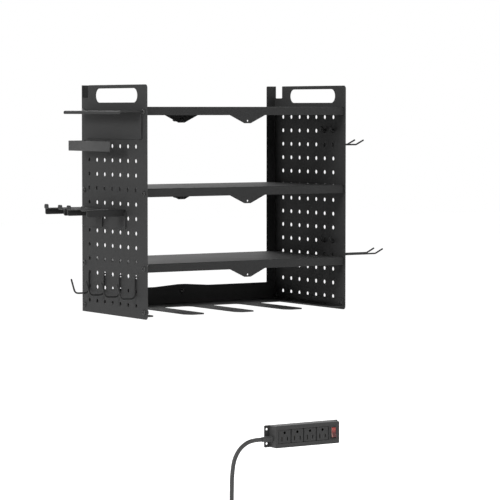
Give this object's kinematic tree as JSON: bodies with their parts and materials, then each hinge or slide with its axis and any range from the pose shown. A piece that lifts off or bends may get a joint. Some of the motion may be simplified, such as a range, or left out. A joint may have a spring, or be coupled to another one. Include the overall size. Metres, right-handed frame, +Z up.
{
  "type": "wall mounted tool organizer",
  "caption": "Wall rack of folded sheet steel with pegboard side panels, shelves, a slotted shelf, pegged holders and a separate corded power strip.",
  "frame": {"origin": "the top shelf's rear wall screw, on the wall plane that the rack stands against", "axes": "+X along the wall to the right as seen from the room, +Y into the wall, +Z up"},
  "size_m": [0.6478, 0.2655, 0.9697],
  "materials": {
    "black_steel": "black finished screw steel",
    "contact_brass": "bright rolled",
    "cord_black": "soft black jacket",
    "ground_lead": "green insulation",
    "hot_lead": "black insulation",
    "housing_black": "fine grained black housing",
    "lamp_orange": "small neon lamp",
    "neutral_lead": "white insulation",
    "outlet_black": "smooth black",
    "powder_coat_black": "fine black powder coat, low sheen",
    "rocker_red": "clear red, lit from behind",
    "tie_black": "nylon",
    "zinc_steel": "zinc plated"
  },
  "bodies": {
    "rack": {"coil_tie": "tie_black", "cord_bushing": "cord_black", "cord_coil": "cord_black", "cord_lead": "cord_black", "cord_plug": "cord_black", "cover_screw_left": "zinc_steel", "cover_screw_right": "zinc_steel", "drill_fork_front": "powder_coat_black", "drill_fork_rear": "powder_coat_black", "drill_shelf": "powder_coat_black", "drill_shelf_bolt_left_front": "black_steel", "drill_shelf_bolt_left_rear": "black_steel", "drill_shelf_bolt_right_front": "black_steel", "drill_shelf_bolt_right_rear": "black_steel", "ear_screw_lower": "black_steel", "ear_screw_upper": "black_steel", "ground_bar": "contact_brass", "ground_lead": "ground_lead", "hammer_hook_lower": "powder_coat_black", "hammer_hook_upper": "powder_coat_black", "hot_bar": "contact_brass", "hot_lead": "hot_lead", "lower_shelf": "powder_coat_black", "lower_shelf_bolt_left_front": "black_steel", "lower_shelf_bolt_left_rear": "black_steel", "lower_shelf_bolt_right_front": "black_steel", "lower_shelf_bolt_right_rear": "black_steel", "neutral_bar": "contact_brass", "neutral_lead": "neutral_lead", "outlet_1": "outlet_black", "outlet_2": "outlet_black", "outlet_3": "outlet_black", "outlet_4": "outlet_black", "peg_hook_1": "powder_coat_black", "peg_hook_2": "powder_coat_black", "peg_hook_3": "powder_coat_black", "peg_hook_4": "powder_coat_black", "pilot_lamp": "lamp_orange", "plier_rack": "powder_coat_black", "screwdriver_rack": "powder_coat_black", "side_panel_left": "powder_coat_black", "side_panel_right": "powder_coat_black", "strip_base": "housing_black", "strip_cover": "housing_black", "switch_frame": "outlet_black", "top_shelf": "powder_coat_black", "top_shelf_bolt_left_front": "black_steel", "top_shelf_bolt_left_rear": "black_steel", "top_shelf_bolt_right_front": "black_steel", "top_shelf_bolt_right_rear": "black_steel", "upper_shelf": "powder_coat_black", "upper_shelf_bolt_left_front": "black_steel", "upper_shelf_bolt_left_rear": "black_steel", "upper_shelf_bolt_right_front": "black_steel", "upper_shelf_bolt_right_rear": "black_steel", "wall_screw_drill": "black_steel", "wall_screw_lower": "black_steel", "wall_screw_top": "black_steel", "wall_screw_upper": "black_steel"},
    "rocker": {"rocker": "rocker_red"}
  },
  "joints": [
    {"name": "rocker_hinge", "type": "hinge", "parent": "rack", "child": "rocker", "pos_m": [0.3298, -0.0223, -0.605], "axis": [1, 0, 0], "range_deg": [0, 20]}
  ]
}
